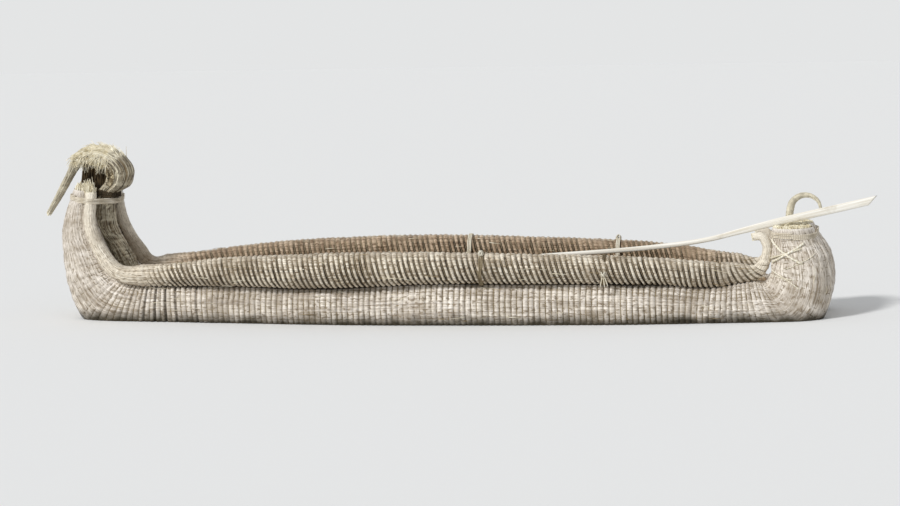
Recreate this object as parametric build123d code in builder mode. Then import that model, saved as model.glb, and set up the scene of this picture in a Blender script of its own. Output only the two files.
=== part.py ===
"""Reed boat of bundled totora: twin hull bundles, gunwale rolls, hooked figurehead, tail and oar.

Millimetres. +X points to the bow, +Y to port, +Z up. The origin is amidships on the
centreline, in the plane of the water that the boat floats in.
"""
from build123d import *
import os
from collections import namedtuple
from math import cos, hypot, radians, sin

# Driving sizes
hull_length = 5540.0          # stem to stern of the hull bundles
prow_height = 930.0           # tips of the hull bundles above the water
stern_height = 630.0          # cut top of the stern stub above the water
bundle_level = 85.0           # middle of the hull bundles above the water
bundle_half_width = 300.0     # hull bundle amidships
bundle_half_depth = 235.0
bundle_clearance = 0.3        # between the two hull bundles, and under what is laid on them
roll_radius = 125.0           # gunwale roll where it is thickest, fore of amidships
roll_press = 8.0              # how far a roll is squeezed against its hull bundle
heart_width = 0.60            # floor bundle, as shares of the hull bundle's half sizes
heart_depth = 0.29
heart_rise = 0.70
neck_foot_radius = 75.0       # central bundle where it climbs the prow
neck_foot_seat = 195.0
neck_radius = 85.0
neck_seat = 136.0
head_seat = 180.0             # from the prow's middle aft to the neck of the figurehead
head_turn = -10.0             # degrees that the figurehead turns away from port
tail_radius = 27.0
tail_tip_radius = 10.0
tail_bend_radius = 108.0
tail_rise = 105.0             # from the stub's top to the middle of the tail's bend
tail_forward = 17.0           # from the stub's middle forward to the tail's root
tail_side = 60.0
tie_thickness = 9.0           # one rope's thickness, on the rolls
tie_length = 40.0
port_tie_places = [(6, 0.395), (7, 0.51)]   # row of the hull's table, share on to the next
starboard_tie_places = [(6, 0.395), (7, 0.82)]
lashing_thickness = 12.0
lashing_length = 46.0
neck_lashing_share = 0.76     # of the way from the neck's row up to the prow's tips
stern_lashing_share = 0.22    # of the way from the stub's cut top down to the next row
oar_lean = 50.0               # degrees inboard of the roll's top where the oar's thin end lies
starboard, port = -1, 1

# Sections of a hull bundle, from the stern's cut top down, along the water and up the prow.
# share and offset give the place along the boat: a share of half the hull's length, plus mm.
# rise is the height over the bundle level, as a share of that end's whole rise.
# heading is the way that the bundle runs, in degrees up from the bow's direction.
# twist turns the section about the vertical, its port side forward.
# width and depth are shares of the bundle amidships, roll of the gunwale roll's radius.
# seat is where the roll lies, in degrees outboard of the bundle's top.
HullRow = namedtuple("HullRow", "share offset end rise heading twist width depth roll seat")
hull_rows = [
    HullRow(-1.00, 264.0, "stern", 1.000, -90, 0, 0.50, 0.59, None, None),
    HullRow(-1.00, 207.0, "stern", 0.570, -90, 0, 0.59, 0.86, None, None),
    HullRow(-1.00, 207.0, "stern", 0.270, -68, 0, 0.65, 0.95, None, None),
    HullRow(-1.00, 285.0, "stern", 0.000, -45, 0, 0.70, 1.01, None, None),
    HullRow(-1.00, 460.0, "stern", -0.045, -18, 0, 0.75, 0.92, None, None),
    HullRow(-1.00, 670.0, "stern", -0.045, 0, 0, 0.80, 0.80, 0.64, 5),
    HullRow(-0.55, 0.0, "stern", -0.010, 0, 0, 0.92, 0.95, 0.78, 26),
    HullRow(-0.28, 0.0, "stern", 0.020, 0, 0, 0.98, 1.04, 0.85, 33),
    HullRow(0.00, 0.0, "stern", 0.037, 0, 0, 1.00, 1.08, 0.91, 36),
    HullRow(0.28, 0.0, "bow", 0.000, 0, 0, 0.92, 1.00, 1.00, 35),
    HullRow(0.53, 0.0, "bow", 0.000, 0, 0, 0.77, 0.98, 0.84, 32),
    HullRow(1.00, -800.0, "bow", 0.000, 0, 0, 0.65, 0.94, 0.63, 31),
    HullRow(1.00, -580.0, "bow", 0.000, 16, 1, 0.60, 1.00, 0.61, 31),
    HullRow(1.00, -380.0, "bow", 0.068, 42, 4, 0.55, 1.08, 0.58, 32),
    HullRow(1.00, -292.0, "bow", 0.230, 66, 8, 0.53, 0.92, 0.53, 32),
    HullRow(1.00, -236.0, "bow", 0.460, 86, 13, 0.50, 0.74, 0.47, 31),
    HullRow(1.00, -203.0, "bow", 0.700, 92, 19, 0.42, 0.52, 0.38, 29),
    HullRow(1.00, -232.0, "bow", 1.000, 97, 21, 0.32, 0.29, 0.32, 27),
]
stern_heel_row, oar_rest_row, bow_heel_row, neck_foot_row, neck_row = 3, 7, 13, 15, 16

# Stern ends of the gunwale rolls: each curls up in front of the stub and forward to a knob.
# offset is from the hull's stern end, level above the water, side out from the centreline.
CurlRow = namedtuple("CurlRow", "offset level side heading radius")
curl_rows = [
    CurlRow(532.0, 566.0, 190.0, 165, 27.0),
    CurlRow(480.0, 569.0, 190.0, 195, 31.0),
    CurlRow(440.0, 520.0, 190.0, 255, 35.0),
    CurlRow(441.0, 430.0, 195.0, 277, 38.0),
    CurlRow(482.0, 345.0, 210.0, 318, 48.0),
]

# The figurehead above the prow's tips. reach is forward of its neck, level above the tips.
HeadRow = namedtuple("HeadRow", "reach level heading half_width half_depth")
head_rows = [
    HeadRow(42.0, -30.0, 92, 84.0, 84.0),
    HeadRow(-42.0, 45.0, 95, 100.0, 96.0),
    HeadRow(-63.0, 115.0, 84, 102.0, 98.0),
    HeadRow(14.0, 208.0, 45, 96.0, 88.0),
    HeadRow(125.0, 235.0, 0, 84.0, 74.0),
    HeadRow(205.0, 236.0, -10, 70.0, 58.0),
    HeadRow(276.0, 205.0, -45, 56.0, 46.0),
    HeadRow(312.0, 145.0, -56, 44.0, 34.0),
    HeadRow(403.0, -8.0, -56, 33.0, 28.0),
    HeadRow(521.0, -186.0, -56, 20.0, 19.0),
]

# The oar aft of where its thin end rests on the port roll. along is forward of the stub's
# front edge, side to port, level above the stub's top.
OarRow = namedtuple("OarRow", "along side level half_width half_depth")
oar_pole_radius = 15.0
oar_rows = [
    OarRow(1177.0, 335.0, -146.0, 16.0, 16.0),
    OarRow(807.0, 278.0, -120.0, 16.0, 17.0),
    OarRow(397.0, 214.0, -68.0, 15.0, 18.0),
    OarRow(237.0, 188.0, -29.0, 13.0, 21.0),
    OarRow(0.0, 154.0, 26.4, 12.0, 26.0),
    OarRow(-203.0, 127.0, 69.0, 12.0, 28.0),
    OarRow(-723.0, 64.0, 177.0, 10.0, 28.0),
]


class Station:
    """One section of the hull: where it is, which way it faces and how large it is."""

    def __init__(self, row):
        end_height = {"stern": stern_height, "bow": prow_height}[row.end]
        turn, tilt = radians(row.twist), radians(row.heading)
        self.middle = Vector(
            row.share * hull_length / 2 + row.offset,
            0,
            bundle_level + row.rise * (end_height - bundle_level),
        )
        self.along = Vector(cos(tilt) * cos(turn), -cos(tilt) * sin(turn), sin(tilt))
        self.across = Vector(sin(turn), cos(turn), 0)
        self.up = self.along.cross(self.across)
        self.half_width = row.width * bundle_half_width
        self.half_depth = row.depth * bundle_half_depth
        self.roll = row.roll and row.roll * roll_radius
        self.seat = row.seat and radians(row.seat)

    def point(self, side, rise):
        return self.middle + self.across * side + self.up * rise

    def plane(self, out=0.0, rise=0.0, side=1):
        return Plane(self.point(out, rise), x_dir=self.across * side, z_dir=self.along)

    def roll_place(self):
        """How far out and up the roll's centre lies, seated square on the hull bundle."""
        a, b = self.half_width, self.half_depth
        out, up = sin(self.seat) / a, cos(self.seat) / b
        reach = (self.roll - roll_press) / hypot(out, up)
        return a + a * sin(self.seat) + reach * out, b * cos(self.seat) + reach * up


stations = [Station(row) for row in hull_rows]
stub_top, prow_tip = stations[0], stations[-1]
hull_stern = -hull_length / 2


def side_plane(x, y, z, heading, turn=0.0):
    """A section plane at a point, square to a heading in the boat's upright plane."""
    tilt, yaw = radians(heading), radians(turn)
    along = Vector(cos(tilt) * cos(yaw), cos(tilt) * sin(yaw), sin(tilt))
    return Plane((x, y, z), x_dir=(-sin(yaw), cos(yaw), 0), z_dir=along)


def oval(place, half_width, half_depth):
    """A section of two half ellipses, so that each one of a loft starts at the same side."""
    with BuildSketch(place) as section:
        with BuildLine():
            for start in (0, 180):
                EllipticalCenterArc((0, 0), half_width, half_depth, start, arc_size=180)
        make_face()
    return section.sketch


def reed_bundle(sections, cutters=()):
    """A bundle in straight stretches from section to section, pressed in by its neighbours."""
    with BuildPart() as bundle:
        for near, far in zip(sections, sections[1:]):
            loft([near, far], ruled=True)
        if cutters:
            add(cutters, mode=Mode.SUBTRACT)
    return bundle.part


def hull_bundle(side):
    return reed_bundle([
        oval(
            station.plane(side * (station.half_width + bundle_clearance / 2), 0, side),
            station.half_width,
            station.half_depth,
        )
        for station in stations
    ])


port_hull = hull_bundle(port)
port_hull.label = "port_hull_bundle"
starboard_hull = hull_bundle(starboard)
starboard_hull.label = "starboard_hull_bundle"
hull_pair = [port_hull, starboard_hull]


# A gunwale roll is one bundle from its curl to the prow's tip, in four lengths end to end
# that meet at rows of the hull's table.
roll_lengths = [("stern", 5, 7), ("aft", 7, 8), ("fore", 8, 9), ("bow", 9, 17)]


def roll_section(side, station):
    out, up = station.roll_place()
    return oval(station.plane(side * out, up), station.roll, station.roll)


def gunwale_roll(side, name):
    curl = []
    for row in curl_rows:
        place = side_plane(hull_stern + row.offset, side * row.side, row.level, row.heading)
        curl.append(oval(place, row.radius, row.radius))
    lengths = []
    for part, first, last in roll_lengths:
        sections = [roll_section(side, station) for station in stations[first:last + 1]]
        length = reed_bundle(curl + sections if part == "stern" else sections, hull_pair)
        length.label = f"{name}_roll_{part}"
        lengths.append(length)
    return lengths


port_roll = gunwale_roll(port, "port")
starboard_roll = gunwale_roll(starboard, "starboard")
rolls = [*port_roll, *starboard_roll]

# Floor bundle in the valley between the hull bundles, from heel to heel
def heart_section(station):
    return oval(
        station.plane(0, heart_rise * station.half_depth),
        heart_width * station.half_width,
        heart_depth * station.half_depth,
    )


heart = reed_bundle(
    [heart_section(station) for station in stations[stern_heel_row:bow_heel_row + 1]], hull_pair
)
heart.label = "heart_bundle"

# Figurehead: the central bundle climbs the prow from the floor bundle's end, and hooks over
head_sections = [
    heart_section(stations[bow_heel_row]),
    oval(stations[neck_foot_row].plane(0, neck_foot_seat), neck_foot_radius, neck_foot_radius),
    oval(stations[neck_row].plane(0, neck_seat), neck_radius, neck_radius),
]
neck_top = prow_tip.point(0, head_seat)
head_yaw = radians(head_turn)
for row in head_rows:
    head_place = side_plane(
        neck_top.X + row.reach * cos(head_yaw),
        neck_top.Y + row.reach * sin(head_yaw),
        prow_height + row.level,
        row.heading,
        head_turn,
    )
    head_sections.append(oval(head_place, row.half_width, row.half_depth))
figurehead = reed_bundle(head_sections, hull_pair)
figurehead.label = "figurehead"

# Tail: a thin bundle that rises from the stub's top and hooks aft
tail_turns = [0, 36, 72, 108, 144, 180]
tail_root_x = stub_top.middle.X + tail_forward
tail_centre = Vector(tail_root_x - tail_bend_radius, tail_side, stern_height + tail_rise)
tail_root = side_plane(tail_root_x, tail_side, stern_height - tail_radius, 90)
tail_sections = [oval(tail_root, tail_radius, tail_radius)]
for turn in tail_turns:
    radius = tail_radius + (tail_tip_radius - tail_radius) * turn / tail_turns[-1]
    tail_place = side_plane(
        tail_centre.X + tail_bend_radius * cos(radians(turn)),
        tail_side,
        tail_centre.Z + tail_bend_radius * sin(radians(turn)),
        90 + turn,
    )
    tail_sections.append(oval(tail_place, radius, radius))
tail = reed_bundle(tail_sections, hull_pair)
tail.label = "stern_tail"

# Oar: a thin pole that rests inboard on the port roll, and a narrow blade on the stub's top
oar_rest = stations[oar_rest_row]
rest_out, rest_up = oar_rest.roll_place()
rest_reach = oar_rest.roll + oar_pole_radius + bundle_clearance
oar_sections = [
    oval(
        side_plane(
            oar_rest.middle.X,
            rest_out - rest_reach * sin(radians(oar_lean)),
            oar_rest.middle.Z + rest_up + rest_reach * cos(radians(oar_lean)),
            180,
        ),
        oar_pole_radius,
        oar_pole_radius,
    )
]
stub_front = stub_top.middle.X + stub_top.half_depth
for row in oar_rows:
    place = side_plane(stub_front + row.along, row.side, stern_height + row.level, 180)
    oar_sections.append(oval(place, row.half_width, row.half_depth))
oar = reed_bundle(oar_sections)
oar.label = "oar"


def blend(first, second, share):
    """A section of the hull part of the way from one row of its table to the next."""
    values = []
    for near, far in zip(hull_rows[first], hull_rows[second]):
        values.append(near + (far - near) * share if isinstance(near, (int, float)) else near)
    return Station(HullRow(*values))


def lashing(place, circles, length, wrapped):
    """Rope wound tight over round bundles, filling what gaps they leave between them."""
    with BuildPart() as rope:
        with BuildSketch(place):
            with BuildLine():
                for x, y, radius in circles:
                    CenterArc((x, y), radius, 0, 360)
            make_hull()
        extrude(amount=length / 2, both=True)
        add(wrapped, mode=Mode.SUBTRACT)
    return rope.part


def roll_ties(side, roll, places):
    """Short bindings that hold a gunwale roll down on its hull bundle."""
    with BuildPart() as ties:
        for first, share in places:
            station = blend(first, first + 1, share)
            out, up = station.roll_place()
            with BuildSketch(station.plane(side * out, up)):
                Circle(station.roll + tie_thickness)
            extrude(amount=tie_length / 2, both=True)
        add([*roll, *hull_pair], mode=Mode.SUBTRACT)
    return ties.part


port_ties = roll_ties(port, port_roll, port_tie_places)
port_ties.label = "port_roll_ties"
starboard_ties = roll_ties(starboard, starboard_roll, starboard_tie_places)
starboard_ties.label = "starboard_roll_ties"

# Lashing of the neck: round both hull bundles, both rolls and the central bundle
neck = blend(neck_row, neck_row + 1, neck_lashing_share)
neck_out, neck_up = neck.roll_place()
neck_circles = [(0, neck_seat, neck_radius + lashing_thickness)]
for side in (starboard, port):
    for across in (neck.half_depth, 2 * neck.half_width - neck.half_depth):
        neck_circles.append((side * across, 0, neck.half_depth + lashing_thickness))
    neck_circles.append((side * neck_out, neck_up, neck.roll + lashing_thickness))
neck_lashing = lashing(neck.plane(), neck_circles, lashing_length, [*hull_pair, *rolls, figurehead])
neck_lashing.label = "neck_lashing"

# Lashing of the stern: round both hull bundles under the stub's cut top
stub = blend(0, 1, stern_lashing_share)
stub_radius = min(stub.half_width, stub.half_depth)
stub_circles = [
    (side * (2 * stub.half_width - stub_radius), 0, stub_radius + lashing_thickness)
    for side in (starboard, port)
]
stern_lashing = lashing(stub.plane(), stub_circles, lashing_length, hull_pair)
stern_lashing.label = "stern_lashing"

pieces = [
    port_hull,
    starboard_hull,
    *rolls,
    heart,
    figurehead,
    tail,
    oar,
    port_ties,
    starboard_ties,
    neck_lashing,
    stern_lashing,
]
os.makedirs("parts", exist_ok=True)
for piece in pieces:
    export_step(piece, f"parts/{piece.label}.step")
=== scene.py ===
# Reed boat: the look of its bundles, ropes and oar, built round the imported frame.
# Metres. +X to the bow, +Y to port, +Z up, water at z = 0.
import bisect
import bmesh
import bpy
import math
import random
from mathutils import Matrix, Vector, noise


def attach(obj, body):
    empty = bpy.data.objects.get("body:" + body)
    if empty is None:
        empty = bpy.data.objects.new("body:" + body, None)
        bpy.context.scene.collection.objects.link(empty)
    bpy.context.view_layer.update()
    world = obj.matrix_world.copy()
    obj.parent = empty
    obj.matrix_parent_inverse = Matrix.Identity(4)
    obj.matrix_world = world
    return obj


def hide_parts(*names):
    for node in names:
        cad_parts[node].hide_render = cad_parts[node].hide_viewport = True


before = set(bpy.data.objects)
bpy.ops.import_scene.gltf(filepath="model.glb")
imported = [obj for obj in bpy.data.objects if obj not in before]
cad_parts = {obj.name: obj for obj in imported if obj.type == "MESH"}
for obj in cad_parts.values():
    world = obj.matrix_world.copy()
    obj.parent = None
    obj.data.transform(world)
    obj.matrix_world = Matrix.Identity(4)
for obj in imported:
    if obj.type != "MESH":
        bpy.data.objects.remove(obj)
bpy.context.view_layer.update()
print("frame loaded")

fullTurn = 2 * math.pi
port = 1
starboard = -1
bothSides = ((port, "port"), (starboard, "starboard"))

# Hull stations, the same as the solids follow
boat = {
    "length": 5.54,
    "prowHeight": 0.93,
    "sternHeight": 0.63,
    "level": 0.085,
    "halfWidth": 0.300,
    "halfDepth": 0.235,
    "rollRadius": 0.125,
    "rollPress": 0.008,
    "heartWidth": 0.60,
    "heartDepth": 0.29,
    "heartRise": 0.70,
    # share of half the length, offset, rise, heading, twist, width, depth, roll, seat
    "rows": [
        (-1.00, 0.264, 1.000, -90, 0, 0.50, 0.59, None, None),
        (-1.00, 0.207, 0.570, -90, 0, 0.59, 0.86, None, None),
        (-1.00, 0.207, 0.270, -68, 0, 0.65, 0.95, None, None),
        (-1.00, 0.285, 0.000, -45, 0, 0.70, 1.01, None, None),
        (-1.00, 0.460, -0.045, -18, 0, 0.75, 0.92, None, None),
        (-1.00, 0.670, -0.045, 0, 0, 0.80, 0.80, 0.64, 5),
        (-0.55, 0.0, -0.010, 0, 0, 0.92, 0.95, 0.78, 26),
        (-0.28, 0.0, 0.020, 0, 0, 0.98, 1.04, 0.85, 33),
        (0.00, 0.0, 0.037, 0, 0, 1.00, 1.08, 0.91, 36),
        (0.28, 0.0, 0.000, 0, 0, 0.92, 1.00, 1.00, 35),
        (0.53, 0.0, 0.000, 0, 0, 0.77, 0.98, 0.84, 32),
        (1.00, -0.800, 0.000, 0, 0, 0.65, 0.94, 0.63, 31),
        (1.00, -0.580, 0.000, 16, 1, 0.60, 1.00, 0.61, 31),
        (1.00, -0.380, 0.068, 42, 4, 0.55, 1.08, 0.58, 32),
        (1.00, -0.292, 0.230, 66, 8, 0.53, 0.92, 0.53, 32),
        (1.00, -0.236, 0.460, 86, 13, 0.50, 0.74, 0.47, 31),
        (1.00, -0.203, 0.700, 92, 19, 0.42, 0.52, 0.38, 29),
        (1.00, -0.232, 1.000, 97, 21, 0.32, 0.29, 0.32, 27),
    ],
    "sternHeel": 3,
    "oarRest": 7,
    "bowHeel": 13,
    "neckFoot": 15,
    "neck": 16,
}
hullStern = -boat["length"] / 2


# The ways along and across a bundle, from the degrees that it climbs and turns aside
def waysOf(heading, aside):
    tilt = math.radians(heading)
    yaw = math.radians(aside)
    along = (math.cos(tilt) * math.cos(yaw), math.cos(tilt) * math.sin(yaw), math.sin(tilt))
    return Vector(along), Vector((-math.sin(yaw), math.cos(yaw), 0))


def readStation(row):
    share, offset, rise, heading, twist, width, depth, roll, seat = row
    along, across = waysOf(heading, -twist)
    height = boat["prowHeight"] if share > 0 else boat["sternHeight"]
    level = boat["level"] + rise * (height - boat["level"])
    return {
        "middle": Vector((share * boat["length"] / 2 + offset, 0, level)),
        "along": along,
        "across": across,
        "up": along.cross(across),
        "wide": width * boat["halfWidth"],
        "deep": depth * boat["halfDepth"],
        "roll": roll and roll * boat["rollRadius"],
        "seat": seat and math.radians(seat),
    }


def stationPoint(station, out, up):
    return station["middle"] + station["across"] * out + station["up"] * up


def rollPlace(station):
    wide, deep = station["wide"], station["deep"]
    out = math.sin(station["seat"]) / wide
    up = math.cos(station["seat"]) / deep
    reach = (station["roll"] - boat["rollPress"]) / math.hypot(out, up)
    return (
        wide + wide * math.sin(station["seat"]) + reach * out,
        deep * math.cos(station["seat"]) + reach * up,
    )


stations = [readStation(row) for row in boat["rows"]]
rollStations = [station for station in stations if station["roll"]]


# A section is one vector: middle, way along, way across, half width and half depth
def sectionAt(middle, along, across, wide, deep):
    return Vector((*middle, *along, *across, wide, deep))


def stationSection(station, out, up, wide, deep):
    return sectionAt(stationPoint(station, out, up), station["along"], station["across"], wide, deep)


def sideSection(x, y, z, heading, wide, deep, aside=0.0):
    return sectionAt((x, y, z), *waysOf(heading, aside), wide, deep)


# A run is a smooth line through sections, read by the metres along them
def makeRun(sections):
    stops = [0.0]
    secants = []
    for near, far in zip(sections, sections[1:]):
        span = (Vector(far[:3]) - Vector(near[:3])).length
        stops.append(stops[-1] + span)
        secants.append((far - near) / span)
    slopes = [secants[0]]
    for i in range(1, len(secants)):
        before = stops[i] - stops[i - 1]
        after = stops[i + 1] - stops[i]
        slopes.append((secants[i - 1] * after + secants[i] * before) / (before + after))
    slopes.append(secants[-1])
    return {"stops": stops, "sections": sections, "slopes": slopes, "length": stops[-1]}


def readRun(run, length):
    stops = run["stops"]
    i = min(max(bisect.bisect_right(stops, length) - 1, 0), len(stops) - 2)
    span = stops[i + 1] - stops[i]
    t = (length - stops[i]) / span
    value = (
        run["sections"][i] * (2 * t**3 - 3 * t**2 + 1)
        + run["slopes"][i] * ((t**3 - 2 * t**2 + t) * span)
        + run["sections"][i + 1] * (3 * t**2 - 2 * t**3)
        + run["slopes"][i + 1] * ((t**3 - t**2) * span)
    )
    along = Vector(value[3:6]).normalized()
    across = Vector(value[6:9])
    across = (across - along * across.dot(along)).normalized()
    return Vector(value[0:3]), along, across, along.cross(across), value[9], value[10]


def waver(x, y, z):
    return noise.noise(Vector((x, y, z)))


# A point on a section of a run, at a share of the way out from its middle
def inSection(section, share, angle):
    middle, along, across, up, wide, deep = section
    out = across * (wide * share * math.cos(angle))
    return middle + out + up * (deep * share * math.sin(angle))


def smoothStep(value, low, high):
    t = min(max((value - low) / (high - low), 0.0), 1.0)
    return t * t * (3 - 2 * t)


# A turn of the winding leans towards the bow at its top, but not by the bundle's ends
def leanAt(run, bundle, length, turn):
    away = min(length, run["length"] - length)
    return bundle["lean"] * math.sin(fullTurn * turn) * smoothStep(away, 0.0, bundle["leanReach"])


# How tightly the winding rope bites: less on a worn top, where the painted shade in the grooves
# fades too so that the top is painted as lit, or where a bundle's reeds run loose
def windingGrip(run, bundle, length, turn):
    slow = waver(length * 3, bundle["seed"], 3)
    quick = waver(length * 19, bundle["seed"], 8)
    grip = bundle["grip"] * (1.0 + bundle["unevenness"] * (slow + quick))
    grip *= 1 - bundle["wornLitTop"] * max(0.0, math.sin(fullTurn * turn)) ** 2
    for end, (low, high, least) in bundle["calm"].items():
        away = length if end == "stern" else run["length"] - length
        grip *= least + (1 - least) * smoothStep(away, low, high)
    for fromEnd, strength in bundle["creases"]:
        off = (run["length"] - fromEnd - length) / bundle["creaseWidth"]
        grip += strength * math.exp(-(off**2))
    if bundle["looseFrom"]:
        grip *= 1 - smoothStep(length, bundle["looseFrom"] - 0.10, bundle["looseFrom"] + 0.06)
    return grip


# The cleft between two sheaves of loose reeds, which run along the bundle: a dip in the skin,
# painted dark as shade through the groove mask
def cleftAt(bundle, length, turn):
    if not bundle["looseFrom"]:
        return 0.0
    loose = smoothStep(length, bundle["looseFrom"] - 0.12, bundle["looseFrom"] + 0.05)
    sway = 0.8 * waver(length * 4, turn * 4, bundle["seed"])
    patch = abs(waver(length * 6, turn * 9, bundle["seed"] + 4))
    sheaf = abs(math.cos(math.pi * (bundle["sheaves"] * turn + sway)))
    return loose * min(1.0, 0.35 + 1.6 * patch) * sheaf ** bundle["cleftEdge"]


# Where feet and wet nets have browned the reeds: on the sides that face into the cockpit
cockpit = {
    "aimLevel": 0.10,
    "facing": (0.1, 0.6),
    "ends": (2.3, 1.8),
}


def troddenAt(place, normal):
    aim = Vector((0, -place.y, cockpit["aimLevel"])).normalized()
    facing = smoothStep(normal.dot(aim), *cockpit["facing"])
    return facing * smoothStep(abs(place.x), *cockpit["ends"])


# Where the reeds are painted paler: toward a bundle's ends and along a beak, and on a hood's top,
# pale by height, where it is sun bleach and painted light on the top together
def bleachAndLightAt(run, bundle, length, place):
    if bundle["looseFrom"]:
        hood = smoothStep(place.z, *bundle["hoodLitLevels"])
        hood *= smoothStep(length, *bundle["hoodLengths"])
        return max(hood, bundle["beakBleach"] * smoothStep(length, *bundle["beakLengths"]))
    return math.exp(-min(length, run["length"] - length) / bundle["bleachReach"])


def onBundle(run, bundle, length, turn, pinch):
    middle, along, across, up, wide, deep = readRun(run, length)
    cosine = math.cos(fullTurn * turn)
    sine = math.sin(fullTurn * turn)
    small = min(1.0, (wide + deep) / 2 / bundle["fullRadius"])
    lump = waver(length * 4 + bundle["seed"], cosine * 1.6, sine * 1.6)
    stalk = waver(length * 1.5, cosine * bundle["stalks"], sine * bundle["stalks"])
    wrap = waver(length / bundle["pitch"] * 0.9, bundle["seed"], cosine)
    proud = lump * bundle["lump"] + stalk * bundle["stalkRelief"] + wrap * bundle["wrapRelief"]
    proud -= pinch * windingGrip(run, bundle, length, turn) * bundle["pinch"]
    proud -= cleftAt(bundle, length, turn) * bundle["cleft"]
    normal = (across * (cosine / wide) + up * (sine / deep)).normalized()
    centre = middle + across * (wide * cosine) + up * (deep * sine)
    return centre + normal * (small * proud), normal, along


# Meshes
def addObject(name, data):
    item = bpy.data.objects.new(name, data)
    bpy.context.scene.collection.objects.link(item)
    return item


def finishPiece(name, mesh, materials, nodes=(), smooth=True):
    data = bpy.data.meshes.new(name)
    bmesh.ops.recalc_face_normals(mesh, faces=mesh.faces)
    mesh.to_mesh(data)
    mesh.free()
    if smooth:
        data.shade_smooth()
    for material in materials:
        data.materials.append(material)
    piece = addObject(name, data)
    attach(piece, "root")
    if nodes:
        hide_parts(*nodes)


def fillRims(mesh):
    rims = [edge for edge in mesh.edges if edge.is_boundary]
    return bmesh.ops.holes_fill(mesh, edges=rims, sides=0)["faces"]


def closeEnds(mesh, bulge, slot):
    caps = fillRims(mesh)
    for face in caps:
        face.material_index = slot
    if bulge:
        bmesh.ops.inset_individual(mesh, faces=caps, thickness=bulge, depth=bulge * 0.6)
    bmesh.ops.poke(mesh, faces=caps)


# A sheet to roll up into a tube, square or on a slant, with UVs in metres along it and round it
def tubeSheet(rings, columns, length, girth, slant=0.0):
    sheet = bmesh.new()
    bmesh.ops.create_grid(sheet, x_segments=rings, y_segments=columns, size=0.5)
    uvLayer = sheet.loops.layers.uv.new("reedRun")
    for face in sheet.faces:
        for loop in face.loops:
            co = loop.vert.co
            along = (co.x + 0.5) * length + (co.y - 0.5) * slant
            loop[uvLayer].uv = (along, (co.y + 0.5) * girth)
    return sheet


# Where a vertex of such a sheet comes on a round tube
def tubePoint(vert, middle, out, aside, radius):
    angle = fullTurn * (vert.co.y + 0.5)
    return middle + out * (radius * math.cos(angle)) + aside * (radius * math.sin(angle))


# Closes a thin tube and joins it to a piece's mesh
def addTube(mesh, tube):
    bmesh.ops.remove_doubles(tube, verts=tube.verts, dist=0.00001)
    fillRims(tube)
    data = bpy.data.meshes.new("tube")
    tube.to_mesh(data)
    tube.free()
    mesh.from_mesh(data)
    bpy.data.meshes.remove(data)


# A bundle's winding has whole turns
def windingOf(run, bundle):
    turns = round(run["length"] / bundle["pitch"])
    return turns, run["length"] / turns


# The skin of a bundle: a sheet rolled up on a slant, so that its grooves follow the winding rope
def bundleSkin(name, run, bundle, reeds, nodes):
    turns, pitch = windingOf(run, bundle)
    rings = (turns + 1) * bundle["ringsPerTurn"]
    mesh = tubeSheet(rings, bundle["columns"], (turns + 1) * pitch, bundle["girth"], pitch)
    groove = mesh.verts.layers.float.new("groove")
    bleach_and_light = mesh.verts.layers.float.new("bleach_and_light")
    trodden = mesh.verts.layers.float.new("trodden")
    for vert in mesh.verts:
        around = vert.co.y + 0.5
        ring = round((vert.co.x + 0.5) * rings)
        length = (ring / bundle["ringsPerTurn"] - 1 + around) * pitch
        length += leanAt(run, bundle, length, around)
        phase = ring % bundle["ringsPerTurn"] / bundle["ringsPerTurn"]
        pinch = abs(math.cos(math.pi * phase)) ** bundle["grooveEdge"]
        if length <= 0 or length >= run["length"]:
            length = min(max(length, 0.0), run["length"])
            pinch = bundle["endPinch"]
        place, normal, along = onBundle(run, bundle, length, around, pinch)
        bite = pinch * windingGrip(run, bundle, length, around)
        # groove: where the rope bites or a cleft runs, which the material paints dark as shade
        vert[groove] = max(bite, cleftAt(bundle, length, around))
        vert[bleach_and_light] = bleachAndLightAt(run, bundle, length, place)
        vert[trodden] = bundle["trodden"] * troddenAt(place, normal)
        vert.co = place
    bmesh.ops.remove_doubles(mesh, verts=mesh.verts, dist=0.0003)
    bmesh.ops.dissolve_degenerate(mesh, edges=mesh.edges, dist=0.0003)
    closeEnds(mesh, bundle["endBulge"], 1)
    finishPiece(name, mesh, [reeds, cutReeds], nodes)


# Rope wound in the grooves of a bundle
def bundleRope(name, run, bundle, rope):
    turns, pitch = windingOf(run, bundle)
    if bundle["looseFrom"]:
        turns = round(bundle["looseFrom"] / pitch)
    turns -= 1
    steps = turns * bundle["ropeSteps"]
    girth = fullTurn * bundle["ropeRadius"]
    mesh = tubeSheet(steps, bundle["ropeSides"], turns * bundle["girth"], girth)
    for vert in mesh.verts:
        step = (vert.co.x + 0.5) * turns + 0.5
        turn = step % 1.0
        length = step * pitch
        length += leanAt(run, bundle, length, turn)
        length += 0.10 * pitch * waver(step * 3.1, bundle["seed"], 0)
        place, normal, along = onBundle(run, bundle, length, turn, 1.0)
        showing = min(1.0, 0.3 + windingGrip(run, bundle, length, turn))
        thickness = 1 + 0.25 * waver(step * 2.3, 5, bundle["seed"])
        radius = bundle["ropeRadius"] * thickness * showing
        middle = place + normal * (radius * bundle["ropeProud"] - bundle["ropeSink"] * (1 - showing))
        vert.co = tubePoint(vert, middle, normal, along, radius)
    bmesh.ops.remove_doubles(mesh, verts=mesh.verts, dist=0.0001)
    closeEnds(mesh, 0, 0)
    finishPiece(name, mesh, [rope])


def woundBundle(name, run, bundle, reeds, rope, slot, nodes):
    bundleSkin(f"{name}Skin", run, bundle, reeds, nodes)
    bundleRope(f"{name}Rope", run, bundle, rope)


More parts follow.
